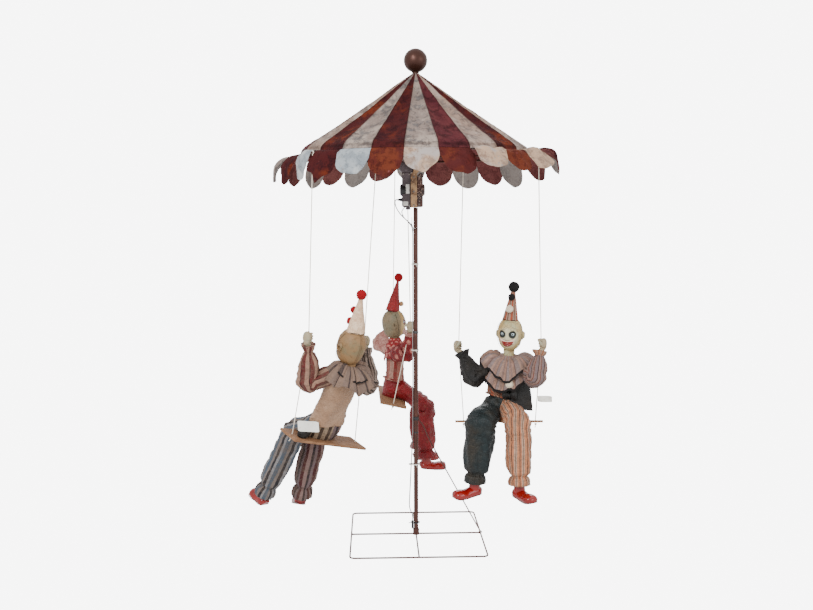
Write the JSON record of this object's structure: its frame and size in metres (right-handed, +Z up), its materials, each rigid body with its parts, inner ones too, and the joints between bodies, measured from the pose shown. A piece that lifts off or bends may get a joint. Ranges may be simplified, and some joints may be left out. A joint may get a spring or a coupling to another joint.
{
  "type": "swing carousel display",
  "caption": "Motorised display carousel: a thin pole on a square rod base turns a striped cloth canopy that carries clown dolls on rope swings.",
  "frame": {"origin": "on the floor at the foot of the pole, the centre of the square base", "axes": "+Z up along the pole; the base's sides lie along X and Y; -Y is the front, the side that faces the camera in the picture"},
  "size_m": [1.1902, 1.0219, 1.9],
  "materials": {
    "brown_steel": "satin dark reddish-brown paint, worn at the edges",
    "bronze_ball": "glossy metallic brown",
    "grey_plastic": "grimy grey-purple plastic",
    "speckled_brown": "dark brown with rust speckles",
    "tan_plate": "tan paint with rust spots",
    "black_plastic": "black, slightly shiny",
    "black_cable": "black flexible covering",
    "striped_canopy": "maroon and off-white panels, mottled and crackled",
    "striped_valance": "off-white and maroon tabs, mottled",
    "white_rope": "thin white cord",
    "pale_plywood": "pale board with worn edges",
    "pale_skin": "pale yellow-green, fine cracks",
    "red_shoe": "glossy red",
    "orange_clown_jacket_cloth": "red-orange diagonal stripes, grey-white sleeve",
    "orange_clown_trousers_cloth": "one charcoal leg, one striped in orange and white",
    "orange_clown_hat_cloth": "orange-red and white stripes",
    "orange_clown_ruff_cloth": "mauve and pink-grey stripes with black trim",
    "red_clown_jacket_cloth": "red with pink polka dots",
    "red_clown_trousers_cloth": "red with faint dots",
    "red_clown_hat_cloth": "red satin",
    "red_clown_ruff_cloth": "white and pink ruffle with black trim",
    "cream_clown_jacket_cloth": "cream satin with striped sleeves",
    "cream_clown_trousers_cloth": "blue-grey and red-grey stripes",
    "cream_clown_hat_cloth": "cream cloth with a dark rim",
    "cream_clown_ruff_cloth": "grey-purple stripes"
  },
  "bodies": {
    "stand": {"base_ring": "brown_steel", "base_cross": "brown_steel", "pole_section_bottom": "brown_steel", "pole_section_lower": "brown_steel", "pole_section_upper": "brown_steel", "pole_section_top": "brown_steel", "stay_rod": "brown_steel", "motor_drum": "black_plastic", "motor_case_left": "grey_plastic", "motor_plate": "tan_plate", "motor_case_right": "speckled_brown", "motor_block": "grey_plastic", "lead_strain_relief": "black_plastic", "lead": "black_cable", "lead_connector": "black_plastic"},
    "rotor": {"hub_and_arms": "brown_steel", "mast": "brown_steel", "canopy_hoop": "brown_steel", "finial_ball": "bronze_ball", "canopy_cloth": "striped_canopy", "canopy_valance": "striped_valance"},
    "orange_clown_swing": {"orange_clown_seat": "pale_plywood", "orange_clown_rope_inner": "white_rope", "orange_clown_rope_outer": "white_rope", "orange_clown_trousers": "orange_clown_trousers_cloth", "orange_clown_jacket": "orange_clown_jacket_cloth", "orange_clown_head": "pale_skin", "orange_clown_hat": "orange_clown_hat_cloth", "orange_clown_ruff": "orange_clown_ruff_cloth", "orange_clown_hand_right": "pale_skin", "orange_clown_hand_left": "pale_skin", "orange_clown_shoe_right": "red_shoe", "orange_clown_shoe_left": "red_shoe"},
    "red_clown_swing": {"red_clown_seat": "pale_plywood", "red_clown_rope_inner": "white_rope", "red_clown_rope_outer": "white_rope", "red_clown_trousers": "red_clown_trousers_cloth", "red_clown_jacket": "red_clown_jacket_cloth", "red_clown_head": "pale_skin", "red_clown_hat": "red_clown_hat_cloth", "red_clown_ruff": "red_clown_ruff_cloth", "red_clown_hand_right": "pale_skin", "red_clown_hand_left": "pale_skin", "red_clown_shoe_right": "red_shoe", "red_clown_shoe_left": "red_shoe"},
    "cream_clown_swing": {"cream_clown_seat": "pale_plywood", "cream_clown_rope_inner": "white_rope", "cream_clown_rope_outer": "white_rope", "cream_clown_trousers": "cream_clown_trousers_cloth", "cream_clown_jacket": "cream_clown_jacket_cloth", "cream_clown_head": "pale_skin", "cream_clown_hat": "cream_clown_hat_cloth", "cream_clown_ruff": "cream_clown_ruff_cloth", "cream_clown_hand_right": "pale_skin", "cream_clown_hand_left": "pale_skin", "cream_clown_shoe_right": "red_shoe", "cream_clown_shoe_left": "red_shoe"}
  },
  "joints": [
    {"name": "rotor_spin", "type": "hinge", "parent": "stand", "child": "rotor", "pos_m": [0, 0, 1.49], "axis": [0, 0, 1], "continuous": true},
    {"name": "orange_clown_swing_hinge", "type": "hinge", "parent": "rotor", "child": "orange_clown_swing", "pos_m": [0.31033, -0.1235, 1.49], "axis": [0.9291, -0.3697, 0], "range_deg": [-14, 14]},
    {"name": "red_clown_swing_hinge", "type": "hinge", "parent": "rotor", "child": "red_clown_swing", "pos_m": [-0.04821, 0.3305, 1.49], "axis": [-0.1444, 0.9895, 0], "range_deg": [-14, 14]},
    {"name": "cream_clown_swing_hinge", "type": "hinge", "parent": "rotor", "child": "cream_clown_swing", "pos_m": [-0.26212, -0.20701, 1.49], "axis": [-0.7848, -0.6198, 0], "range_deg": [-14, 14]}
  ]
}
